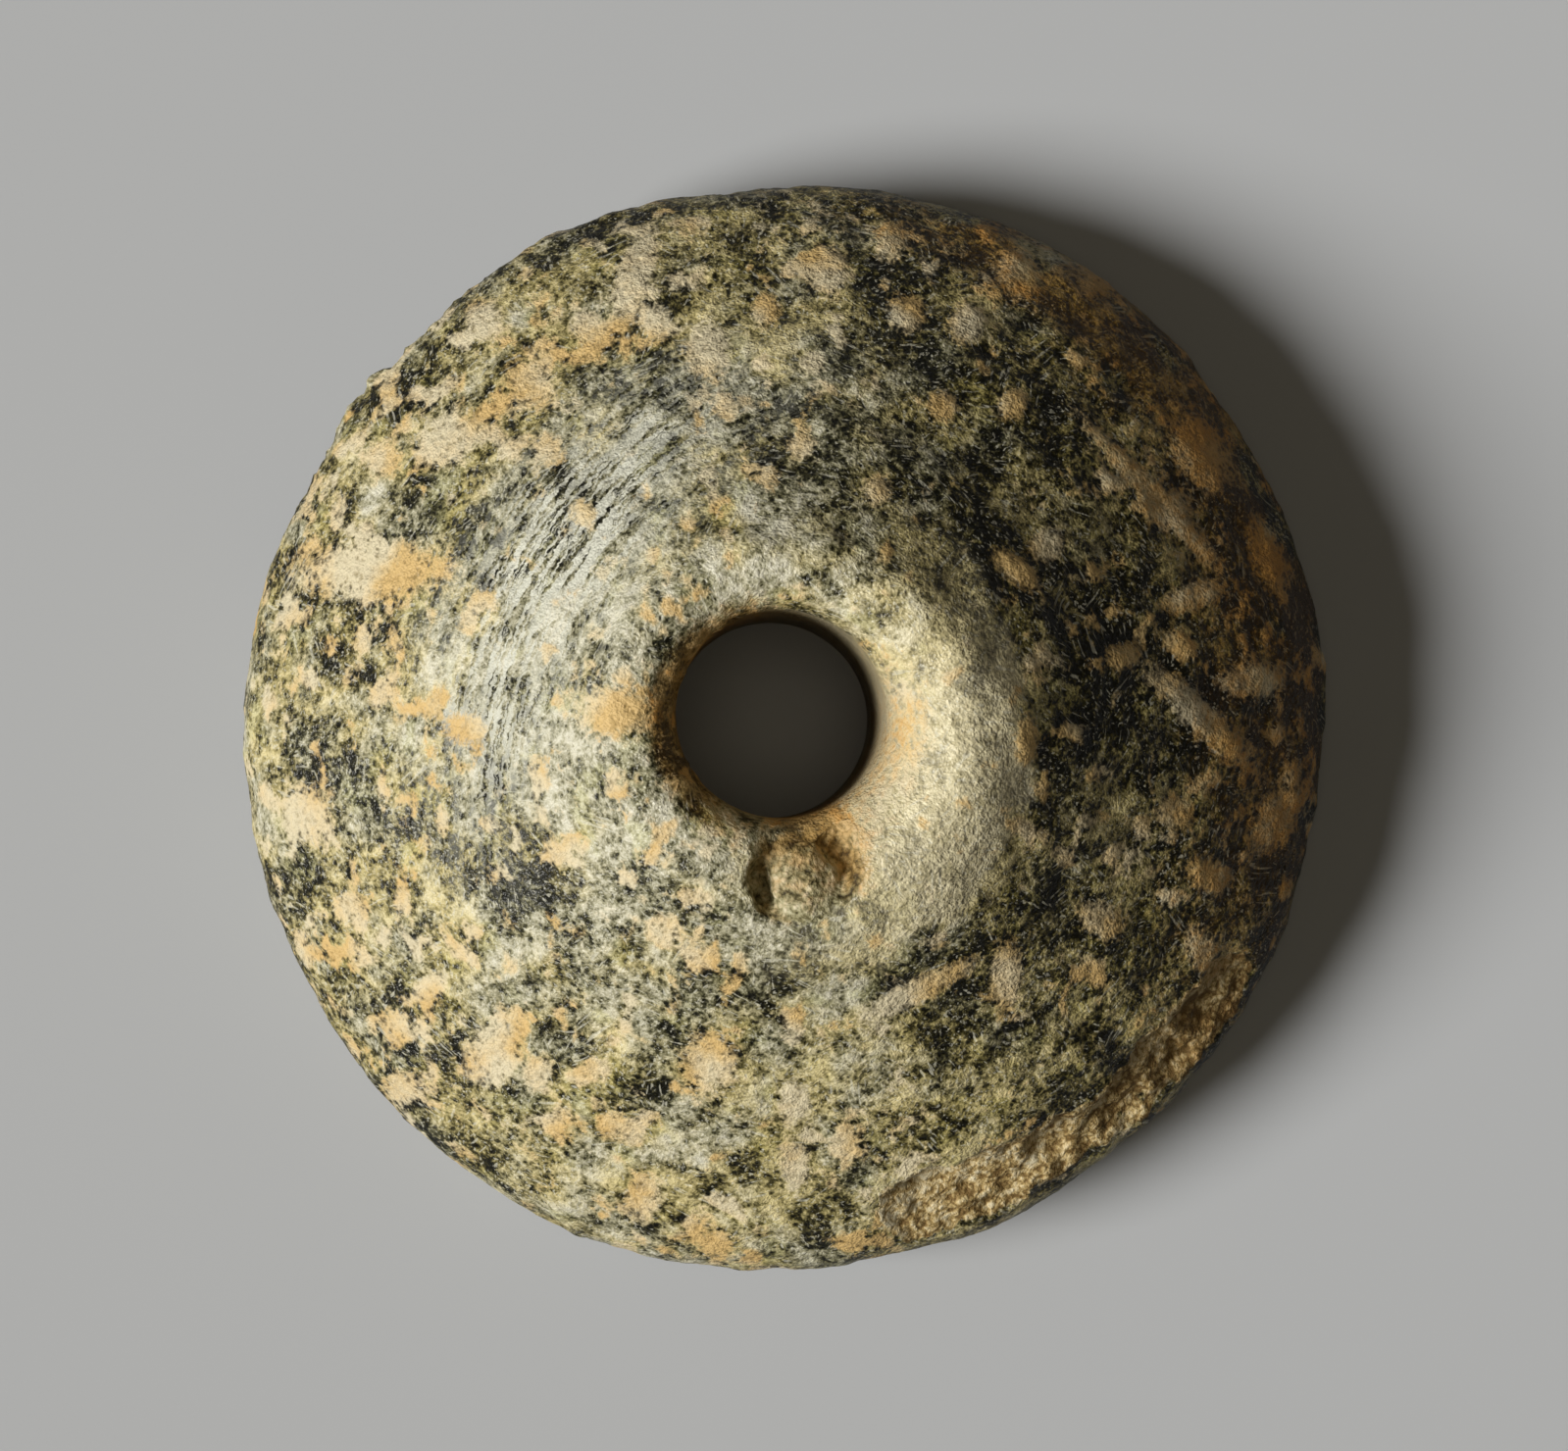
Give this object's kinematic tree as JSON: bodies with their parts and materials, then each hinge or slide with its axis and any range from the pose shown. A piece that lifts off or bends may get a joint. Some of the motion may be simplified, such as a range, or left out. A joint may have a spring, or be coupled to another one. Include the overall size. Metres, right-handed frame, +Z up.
{
  "type": "stone spindle whorl",
  "caption": "Stone spindle whorl: a low worn cone of mottled dark green stone with a drilled spindle bore, a broken lower edge and chips.",
  "frame": {"origin": "middle of the flat underside that the whorl stands on", "axes": "+Z up from the flat underside, roughly along the bore; the largest break faces -Y; +X is to the right of it"},
  "size_m": [0.0403, 0.0396, 0.0173],
  "materials": {
    "stone": "mottled dark green and tan, hand-worn with a slight sheen, rough on its breaks"
  },
  "bodies": {
    "root": {"whorl": "stone"}
  },
  "joints": []
}
